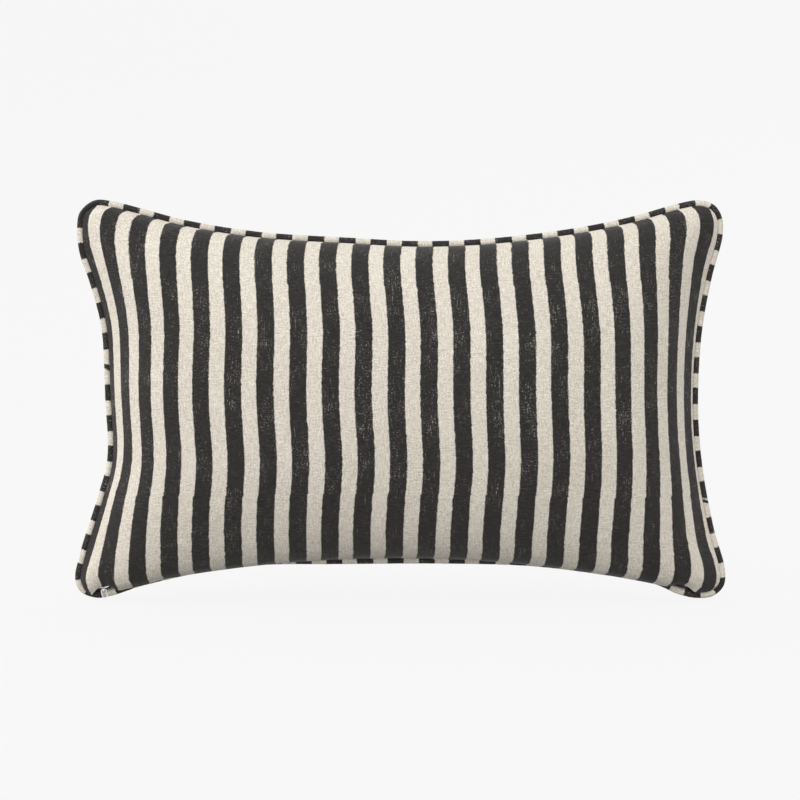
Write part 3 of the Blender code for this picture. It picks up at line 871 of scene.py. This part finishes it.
def make_zip(tape, nylon):
    room = SLIDER_HALF_LENGTH + JOIN_GAP
    angles = arc_stations(ZIP_CLOSED_END[0] - room, ZIP_OPEN_END[0] + room, 1.5 * MM)
    half = COIL_SPACING / 2
    make_coil("coil_front", CHAIN_R + half, nylon, "zip_coil_front", angles)
    make_coil("coil_back", CHAIN_R - half, nylon, "zip_coil_back", angles)
    above = CHAIN_R + half + COIL_HEIGHT / 2 + JOIN_GAP
    below = CHAIN_R - half - COIL_HEIGHT / 2 - JOIN_GAP
    front_path = [(CHAIN_Y, above), (CHAIN_Y, above + 1.1 * MM), (CHAIN_Y - 2.7 * MM, above + 5.0 * MM)]
    back_path = [
        (CHAIN_Y, below), (CHAIN_Y, below - 1.4 * MM),
        (ZIP_Y + 2.3 * MM, below - 1.4 * MM), (ZIP_Y + 2.3 * MM, below + 7.0 * MM),
    ]
    for name, node, path in (("tape_front", "zip_tape_front", front_path),
                             ("tape_back", "zip_tape_back", back_path)):
        band = arc_tube(name, band_section(path, TAPE_THICKNESS), angles, tape)
        finish_piece(band, "cushion", "zip_tape", node)


def plate_outline(half_length, half_width):
    """(along, r) outline of a slider plate: broad shoulders, tapering to a rounded tail."""
    points = []
    for share, width in ((-1, 0.55), (-0.97, 0.66), (-0.6, 0.76), (-0.1, 0.9), (0.35, 1.0), (0.7, 1.0),
                         (0.9, 0.86), (1, 0.62)):
        points.append((share * half_length, width * half_width))
    return points + [(along, -width) for along, width in reversed(points)]


def prism(outline, y_low, y_high, centre_angle):
    """Points and faces of a plate with an (along, r) outline, between two depths, on the zip's arc."""
    along = np.array([p[0] for p in outline])
    r = np.array([p[1] for p in outline]) + CHAIN_R
    layers = [on_arc(centre_angle + along / ZIP_RADIUS, y, r) for y in (y_low, y_high)]
    count = len(outline)
    sides = [(k, (k + 1) % count, (k + 1) % count + count, k + count) for k in range(count)]
    return np.concatenate(layers), [list(range(count)), list(range(2 * count - 1, count - 1, -1))] + sides


def joined(name, parts, material, bevel):
    """One piece of several closed solids, their edges rounded."""
    points = []
    faces = []
    for part_points, part_faces in parts:
        start = len(points)
        mesh = mesh_from("part", part_points, part_faces)
        if encloses(mesh) < 0:
            part_faces = [list(face)[::-1] for face in part_faces]
        bpy.data.meshes.remove(mesh)
        points += [tuple(p) for p in part_points]
        faces += [[start + int(i) for i in face] for face in part_faces]
    mesh = mesh_from(name, points, faces)
    mesh.materials.append(material)
    made = link(name, mesh)
    rounding = made.modifiers.new("rounding", "BEVEL")
    rounding.width = bevel
    rounding.segments = 3
    rounding.limit_method = "ANGLE"
    rounding.angle_limit = math.radians(40)
    graph = bpy.context.evaluated_depsgraph_get()
    made.data = bpy.data.meshes.new_from_object(made.evaluated_get(graph))
    made.modifiers.clear()
    bpy.data.meshes.remove(mesh)
    made.data.shade_smooth()
    made.data.set_sharp_from_angle(angle=math.radians(50))
    return made


def make_slider(metal):
    angle = float(arc_angle(ZIP_CLOSED_END[0]))
    front = CHAIN_Y - SLIDER_HALF_DEPTH
    back = CHAIN_Y + SLIDER_HALF_DEPTH
    plate = plate_outline(SLIDER_HALF_LENGTH, SLIDER_HALF_HEIGHT)
    neck = [(a, r * 0.14) for a, r in plate_outline(SLIDER_HALF_LENGTH * 0.55, SLIDER_HALF_HEIGHT)]
    parts = [
        prism(plate, front, front + PLATE, angle),
        prism(plate, back - PLATE, back, angle),
        prism(neck, front + PLATE / 2, back - PLATE / 2, angle),
    ]
    for y_low, y_high in ((front, CHAIN_Y - TAPE_SLOT), (CHAIN_Y + TAPE_SLOT, back)):
        for sign in (-1, 1):
            r_high = sign * SLIDER_HALF_HEIGHT
            r_low = sign * (SLIDER_HALF_HEIGHT - SIDE_LIP)
            lip = [(-0.1 * MM, r_low), (3.2 * MM, r_low), (3.2 * MM, r_high), (0.2 * MM, r_high)]
            parts.append(prism(lip, y_low + 0.1 * MM, y_high, angle))
    body = joined("slider_body", parts, metal, 0.18 * MM)
    finish_piece(body, "slider", "zip_metal", "zip_slider")
    make_lug(metal, angle, front)


def make_lug(metal, angle, front):
    """The eye under the slider's front plate that carries the puller, with its foot on the plate."""
    steps = 28
    turn = 2 * math.pi * np.arange(steps) / steps
    wide = LUG_WIDTH / 2
    thick = (LUG_RADIUS - LUG_HOLE_RADIUS) / 2
    middle = (LUG_RADIUS + LUG_HOLE_RADIUS) / 2
    profile = [(-wide, -0.55), (-wide * 0.8, -1), (wide * 0.8, -1), (wide, -0.55), (wide, 0.55),
               (wide * 0.8, 1), (-wide * 0.8, 1), (-wide, 0.55)]
    rings = np.array([
        [on_arc(angle + a / ZIP_RADIUS, PIVOT_Y + (middle + thick * k) * math.cos(t),
                PIVOT_R + (middle + thick * k) * math.sin(t)) for a, k in profile]
        for t in turn
    ])
    eye = add_tube("slider_eye", rings, metal, closed=True)
    finish_piece(eye, "slider", "zip_metal")
    high = 0.35 * MM - CHAIN_R
    low = -1.0 * MM
    foot = [(-wide, high), (wide, high), (wide, low), (-wide, low)]
    block = prism(foot, front - 0.55 * MM, front + 0.2 * MM, angle)
    bridge = joined("slider_bridge", [block], metal, 0.2 * MM)
    finish_piece(bridge, "slider", "zip_metal")


def make_puller(metal):
    """A closed wire loop whose straight top passes through the slider's eye."""
    angle = float(arc_angle(ZIP_CLOSED_END[0]))
    pivot = on_arc(angle, PIVOT_Y, PIVOT_R)
    along = np.array([math.cos(angle), 0, -math.sin(angle)])
    down = np.array([-math.sin(angle), 0, -math.cos(angle)])
    half_width = PULLER_WIDTH / 2 - WIRE_RADIUS
    length = PULLER_LENGTH - 2 * WIRE_RADIUS
    shoulder = 0.9 * MM
    line = []
    for centre, radius, first, last, steps in (
        ((half_width - shoulder, shoulder), shoulder, -90, 0, 6),
        ((0.0, length - half_width), half_width, 0, 180, 20),
        ((shoulder - half_width, shoulder), shoulder, 180, 270, 6),
    ):
        for step in range(steps + 1):
            a = math.radians(first + (last - first) * step / steps)
            line.append((centre[0] + radius * math.cos(a), centre[1] + radius * math.sin(a)))
    spine = np.array([pivot + along * u + down * v for u, v in line])
    direction = unit(np.roll(spine, -1, axis=0) - np.roll(spine, 1, axis=0))
    sideways = np.broadcast_to([0.0, 1.0, 0.0], spine.shape)
    rings = wire_rings(spine, sideways, np.cross(direction, sideways), WIRE_RADIUS, 14)
    puller = add_tube("wire_puller", rings, metal, closed=True, sharp=80)
    finish_piece(puller, "puller", "zip_metal", "zip_puller")


def make_label(satin):
    """A blank satin care label, sewn flat inside the cover, its free edge curling a little."""
    low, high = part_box("care_label")
    columns, rows = 36, 14
    x = np.linspace(low.x, high.x, columns)
    y = np.linspace(low.y, high.y, rows)
    across, along = np.meshgrid(x, y)
    share = (along - low.y) / (high.y - low.y)
    curl = LABEL_CURL * share ** 2 + LABEL_RIPPLE * share * np.sin(across * 190)
    grid = np.stack([across, along, (low.z + high.z) / 2 + curl], axis=-1)
    cut = np.stack([across, np.zeros_like(across), along], axis=-1)
    label = add_sheet("satin_label", grid, cut, satin, LABEL_THICKNESS)
    finish_piece(label, "cushion", "label_satin", "care_label")


# Materials

class Graph:
    """Short way to write shader nodes: a value is a number, a colour or another node's output."""

    def __init__(self, owner):
        owner.use_nodes = True
        self.links = owner.node_tree.links
        self.nodes = owner.node_tree.nodes

    def node(self, kind, values=(), **settings):
        made = self.nodes.new("ShaderNode" + kind)
        for key, value in settings.items():
            setattr(made, key, value)
        for socket, value in dict(values).items():
            self.put(made.inputs[socket], value)
        return made

    def put(self, socket, value):
        if isinstance(value, bpy.types.NodeSocket):
            self.links.new(value, socket)
        else:
            socket.default_value = value

    def maths(self, operation, *values):
        return self.node("Math", enumerate(values), operation=operation).outputs[0]

    def add(self, *values):
        total = values[0]
        for value in values[1:]:
            total = self.maths("ADD", total, value)
        return total

    def times(self, first, second):
        return self.maths("MULTIPLY", first, second)

    def plus_minus(self, value, reach):
        """A 0 to 1 value as -reach to reach."""
        return self.maths("MULTIPLY_ADD", value, 2 * reach, -reach)

    def step(self, value, low, high, to_low=0.0, to_high=1.0):
        made = self.node(
            "MapRange",
            {"Value": value, "From Min": low, "From Max": high, "To Min": to_low, "To Max": to_high},
            interpolation_type="SMOOTHSTEP",
        )
        return made.outputs[0]

    def vector(self, x, y, z=0.0):
        return self.node("CombineXYZ", {"X": x, "Y": y, "Z": z}).outputs[0]

    def noise(self, vector, detail=2.0, roughness=0.5):
        values = {"Vector": vector, "Scale": 1.0, "Detail": detail, "Roughness": roughness}
        return self.node("TexNoise", values).outputs["Fac"]

    def mix(self, factor, first, second):
        return self.node("Mix", {0: factor, 6: first, 7: second}, data_type="RGBA").outputs[2]

    def scaled(self, vector, factor):
        return self.node("VectorMath", {"Vector": vector, "Scale": factor}, operation="SCALE").outputs[0]


class Paint(Graph):
    """A new material's nodes round its principled shader, whose constants are given by socket name."""

    def __init__(self, name, roughness, metallic=0.0, **constants):
        self.material = bpy.data.materials.new(name)
        super().__init__(self.material)
        self.shader = self.nodes["Principled BSDF"]
        for socket, value in {"Roughness": roughness, "Metallic": metallic, **constants}.items():
            self.shader.inputs[socket.replace("_", " ").title()].default_value = value

    def cut_place(self):
        """The two coordinates of the flat cloth, in metres."""
        place = self.node("UVMap", uv_map="cut").outputs["UV"]
        parts = self.node("SeparateXYZ", {"Vector": place})
        return parts.outputs["X"], parts.outputs["Y"]

    def bump(self, height, distance, strength=1.0):
        made = self.node("Bump", {"Height": height, "Distance": distance, "Strength": strength})
        self.put(self.shader.inputs["Normal"], made.outputs[0])

    def colour(self, value):
        self.put(self.shader.inputs["Base Color"], value)

    def rough(self, value):
        self.put(self.shader.inputs["Roughness"], value)


def uneven(g, u, v, across, along, seed=0.0, detail=2.0, roughness=0.5):
    """Noise over the cloth, with this many waves to the metre across it and along it."""
    return g.noise(g.vector(g.times(u, across), g.times(v, along), seed), detail, roughness)


def plain_weave(g, u, v, pitch):
    """Height of a plain weave with uneven threads, and the unevenness across and along it."""
    weft = uneven(g, u, v, 150.0, 0.9 / pitch, 0.0, 3.0, 0.6)
    warp = uneven(g, u, v, 0.9 / pitch, 150.0, 7.0, 3.0, 0.6)
    across = g.maths("SINE", g.add(g.times(u, math.pi / pitch), g.plus_minus(warp, 2.0)))
    along = g.maths("SINE", g.add(g.times(v, math.pi / pitch), g.plus_minus(weft, 2.0)))
    return g.times(across, along), weft, warp


def linen(name):
    """Natural linen, block-printed with soft-edged dark stripes."""
    g = Paint(name, 0.92, Sheen_Weight=0.06, Sheen_Roughness=0.55)
    g.shader.inputs["Specular IOR Level"].default_value = 0.2
    u, v = g.cut_place()
    weave, weft, warp = plain_weave(g, u, v, 0.85 * MM)
    broad = uneven(g, u, v, 14.0, 14.0, 3.0, 3.0)
    slubs = g.step(uneven(g, u, v, 60.0, 950.0, 5.0, 2.0, 0.6), 0.62, 0.80)
    slivers = g.step(uneven(g, u, v, 950.0, 60.0, 9.0, 2.0, 0.6), 0.64, 0.82)
    grain = uneven(g, u, v, 950.0, 950.0, 1.0, 2.0, 0.7)
    tone = g.add(0.5, g.plus_minus(weft, 0.45), g.plus_minus(warp, 0.50), g.plus_minus(broad, 0.14),
                 g.plus_minus(grain, 1.0), g.times(weave, 0.10), g.times(slubs, -0.25),
                 g.times(slivers, -0.25))
    cloth = g.mix(g.step(tone, -0.15, 1.15), LINEN_DEEP, LINEN_PALE)

    band_low = g.step(v, PRINT_BAND[0] - 0.3 * MM, PRINT_BAND[0] + 0.3 * MM)
    band_high = g.step(v, PRINT_BAND[1] - 0.3 * MM, PRINT_BAND[1] + 0.3 * MM)
    outside = g.add(g.maths("SUBTRACT", 1.0, band_low), g.times(band_high, 0.7))
    drifted = g.step(v, PRINT_DRIFT[0], PRINT_DRIFT[1])
    stripe_number = g.maths("ROUND", g.times(u, 1 / STRIPE_PERIOD))
    sway = g.noise(g.vector(g.times(stripe_number, 3.7), g.times(v, 11.0)), 2.0)
    drift = uneven(g, u, v, 210.0, 210.0, 4.0)
    ragged = uneven(g, u, v, 900.0, 1500.0, 8.0, 2.0, 0.7)
    place = g.add(u, g.times(outside, 0.6 * MM), g.times(drifted, 1.3 * MM))
    place = g.add(place, g.plus_minus(sway, 0.8 * MM), -STRIPE_OFFSET)
    share = g.times(place, 1 / STRIPE_PERIOD)
    nearest = g.maths("SUBTRACT", share, g.maths("ROUND", share))
    away = g.times(g.maths("ABSOLUTE", nearest), STRIPE_PERIOD)
    edge = g.add(away, g.plus_minus(drift, 0.7 * MM), g.plus_minus(ragged, 1.4 * MM))
    edge = g.add(edge, g.times(outside, -0.2 * MM), -STRIPE_WIDTH / 2)
    ink = g.step(edge, -0.16 * MM, 0.16 * MM, 1.0, 0.0)

    worn = g.add(0.55, g.times(g.maths("SUBTRACT", 1.0, outside), 0.45))
    flecks = uneven(g, u, v, 1100.0, 950.0, 2.0, 3.0, 0.75)
    streaks = uneven(g, u, v, 1100.0, 110.0, 6.0)
    patches = uneven(g, u, v, 60.0, 35.0, 6.0)
    bare = g.add(g.times(flecks, 0.72), g.times(streaks, 0.28), g.plus_minus(patches, 0.10))
    missed = g.times(g.step(bare, 0.575, 0.655), worn)
    ink_tone = g.add(g.times(flecks, 0.55), g.times(weft, 0.45), g.times(weave, 0.08))
    dark = g.mix(g.step(ink_tone, 0.34, 0.74), INK_DEEP, INK_PALE)
    cover = g.times(ink, g.maths("SUBTRACT", 1.0, g.times(missed, 0.52)))
    g.colour(g.mix(cover, cloth, dark))
    g.rough(g.add(0.95, g.times(ink, -0.14), g.times(weave, 0.03)))
    height = g.add(g.times(weave, 0.5), g.times(weft, 0.9), g.times(warp, 0.7), g.times(slubs, 1.2))
    g.bump(height, 0.16 * MM, 0.75)
    return g.material


def cotton(name, deep, pale, pitch, bump):
    """Plain cotton weave on a sheet with a cut map."""
    g = Paint(name, 0.93, Sheen_Weight=0.1)
    u, v = g.cut_place()
    weave, weft, warp = plain_weave(g, u, v, pitch)
    tone = g.add(0.5, g.plus_minus(weft, 0.5), g.plus_minus(warp, 0.5), g.times(weave, 0.2))
    g.colour(g.mix(tone, deep, pale))
    g.rough(g.add(0.9, g.times(weave, 0.04)))
    g.bump(g.add(weave, weft, warp), bump)
    return g.material


def fibres(name, deep, pale, roughness, scale, bump):
    """Spun or loose fibre with no cut map: fine strands and broad patches."""
    g = Paint(name, roughness)
    place = g.node("TexCoord").outputs["Object"]
    strands = g.noise(g.scaled(place, scale), 4.0, 0.7)
    patches = g.noise(g.scaled(place, scale / 12), 2.0)
    g.colour(g.mix(g.add(g.times(strands, 0.7), g.times(patches, 0.3)), deep, pale))
    g.rough(g.maths("MULTIPLY_ADD", strands, 0.14, roughness - 0.07))
    g.bump(strands, bump)
    return g.material


def woven_tape(name):
    """Fine herringbone zip tape."""
    g = Paint(name, 0.8)
    u, v = g.cut_place()
    zigzag = g.maths("PINGPONG", v, 0.9 * MM)
    ribs = g.maths("SINE", g.times(g.add(u, zigzag), 2 * math.pi / (0.55 * MM)))
    fuzz = uneven(g, u, v, 2600.0, 2600.0)
    tone = g.add(g.times(ribs, 0.2), g.times(fuzz, 0.8))
    g.colour(g.mix(tone, (0.012, 0.012, 0.013, 1), (0.05, 0.05, 0.052, 1)))
    g.rough(g.maths("MULTIPLY_ADD", fuzz, 0.15, 0.75))
    g.bump(ribs, 0.05 * MM)
    return g.material


def nickel(name):
    """Plated zip metal with fine polishing scratches and duller patches."""
    g = Paint(name, 0.2, 1.0)
    place = g.node("TexCoord").outputs["Object"]
    parts = g.node("SeparateXYZ", {"Vector": place})
    x, y, z = (parts.outputs[k] for k in range(3))
    scratches = g.noise(g.vector(g.times(x, 900.0), g.times(y, 9000.0), g.times(z, 9000.0)), 3.0, 0.7)
    patches = g.noise(g.scaled(place, 700.0), 2.0)
    g.colour(g.mix(patches, (0.70, 0.69, 0.67, 1), (0.86, 0.86, 0.85, 1)))
    g.rough(g.add(0.12, g.times(scratches, 0.16), g.times(patches, 0.10)))
    g.bump(scratches, 0.006 * MM)
    return g.material


# Studio

def make_floor(material):
    """Round white cove: a floor that curves up into a wall on every side."""
    radius, bend, height = 4.2, 1.2, 5.0
    profile = [(0.0, 0.0), (radius - bend, 0.0)]
    for step in range(1, 9):
        a = math.radians(90 * step / 8)
        profile.append((radius - bend + bend * math.sin(a), bend - bend * math.cos(a)))
    profile.append((radius, height))
    sides = 64
    points = [Vector((0, 0, 0))]
    for reach, z in profile[1:]:
        for k in range(sides):
            a = 2 * math.pi * k / sides
            points.append(Vector((reach * math.cos(a), reach * math.sin(a), z)))
    faces = [(0, 1 + k, 1 + (k + 1) % sides) for k in range(sides)]
    for ring in range(len(profile) - 2):
        start = 1 + ring * sides
        for k in range(sides):
            n = (k + 1) % sides
            faces.append((start + k, start + sides + k, start + sides + n, start + n))
    mesh = mesh_from("studio_cove", points, faces)
    mesh.materials.append(material)
    mesh.shade_smooth()
    cove = link("studio_cove", mesh)
    cove.visible_diffuse = False
    cove.visible_shadow = False


def cove_paint():
    """Pale paint that is nearly all its own even light, so that only a faint contact shadow shows."""
    g = Paint("cove_paint", 1.0)
    g.colour((0.9, 0.9, 0.9, 1))
    glow = g.node("Emission", {"Color": (1, 1, 1, 1), "Strength": COVE_GLOW}).outputs[0]
    blend = g.node("MixShader", {0: COVE_SHADE, 1: glow, 2: g.shader.outputs[0]}).outputs[0]
    g.put(g.nodes["Material Output"].inputs["Surface"], blend)
    return g.material


def make_world():
    """Soft light from all round: strongest from above and the left, faint from below."""
    world = bpy.data.worlds.new("studio")
    bpy.context.scene.world = world
    g = Graph(world)
    direction = g.node("SeparateXYZ", {0: g.node("TexCoord").outputs["Generated"]}).outputs
    ramp = g.node("FloatCurve", {"Value": g.maths("MULTIPLY_ADD", direction["Z"], 0.5, 0.5)})
    points = ramp.mapping.curves[0].points
    ramp.mapping.use_clip = False
    points[0].location = WORLD_GLOW[0]
    points[1].location = WORLD_GLOW[-1]
    for place_and_glow in WORLD_GLOW[1:-1]:
        points.new(*place_and_glow)
    for point in points:
        point.handle_type = "VECTOR"
    ramp.mapping.update()
    sideways = g.maths("MULTIPLY_ADD", direction["X"], WORLD_SIDEWAYS, 1.0)
    background = g.nodes["Background"].inputs
    g.put(background["Color"], (1, 1, 1, 1))
    g.put(background["Strength"], g.times(ramp.outputs[0], sideways))


def make_softbox():
    light = bpy.data.lights.new("softbox", "AREA")
    light.shape = "SQUARE"
    light.size = SOFTBOX_SIZE
    light.energy = SOFTBOX_POWER
    made = bpy.data.objects.new("softbox", light)
    made.location = SOFTBOX_PLACE
    made.rotation_euler = (SOFTBOX_AIM - SOFTBOX_PLACE).to_track_quat("-Z", "Y").to_euler()
    bpy.context.scene.collection.objects.link(made)


def make_camera():
    """Straight at the front, level with the pillow's middle."""
    camera = bpy.data.cameras.new("camera")
    camera.sensor_width = 36
    camera.lens = 36 * CAMERA_DISTANCE / VIEW_WIDTH
    made = bpy.data.objects.new("camera", camera)
    made.location = (CAMERA_X, -CAMERA_DISTANCE, CAMERA_Z)
    made.rotation_euler = (math.pi / 2, 0, 0)
    bpy.context.scene.collection.objects.link(made)
    bpy.context.scene.camera = made


def make_studio():
    make_floor(cove_paint())
    make_world()
    make_softbox()
    make_camera()
    bpy.context.scene.view_settings.view_transform = "Standard"


def repaint(node, material):
    """Give a CAD node that stays in view its finished material."""
    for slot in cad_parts[node].material_slots:
        slot.material = material


def main():
    printed = linen("printed_linen")
    thread = fibres("sewing_thread", (0.52, 0.47, 0.38, 1), (0.80, 0.76, 0.68, 1), 0.8, 6000.0, 0.03 * MM)
    cord = fibres("cotton_cord", (0.62, 0.58, 0.49, 1), (0.86, 0.83, 0.76, 1), 0.92, 2500.0, 0.08 * MM)
    ticking = cotton("ticking", (0.74, 0.72, 0.68, 1), (0.90, 0.89, 0.86, 1), 0.35 * MM, 0.05 * MM)
    filling = fibres("filling", (0.70, 0.68, 0.64, 1), (0.93, 0.92, 0.90, 1), 0.95, 420.0, 0.9 * MM)
    satin = fibres("label_satin", (0.80, 0.80, 0.78, 1), (0.92, 0.92, 0.91, 1), 0.38, 1800.0, 0.02 * MM)
    tape = woven_tape("zip_tape")
    nylon = fibres("zip_nylon", (0.010, 0.010, 0.011, 1), (0.03, 0.03, 0.032, 1), 0.38, 3000.0, 0.01 * MM)
    metal = nickel("nickel")

    flat, (front, back) = make_shapes()
    make_panels(flat, front, back, printed)
    make_strips(printed)
    make_cord(cord)
    make_overlock(thread)
    make_insert(flat, front, back, ticking, filling, thread)
    make_zip(tape, nylon)
    make_slider(metal)
    make_puller(metal)
    make_label(satin)
    for node in ("zip_top_stop_front", "zip_top_stop_back", "zip_bottom_stop"):
        repaint(node, metal)
    make_studio()


main()
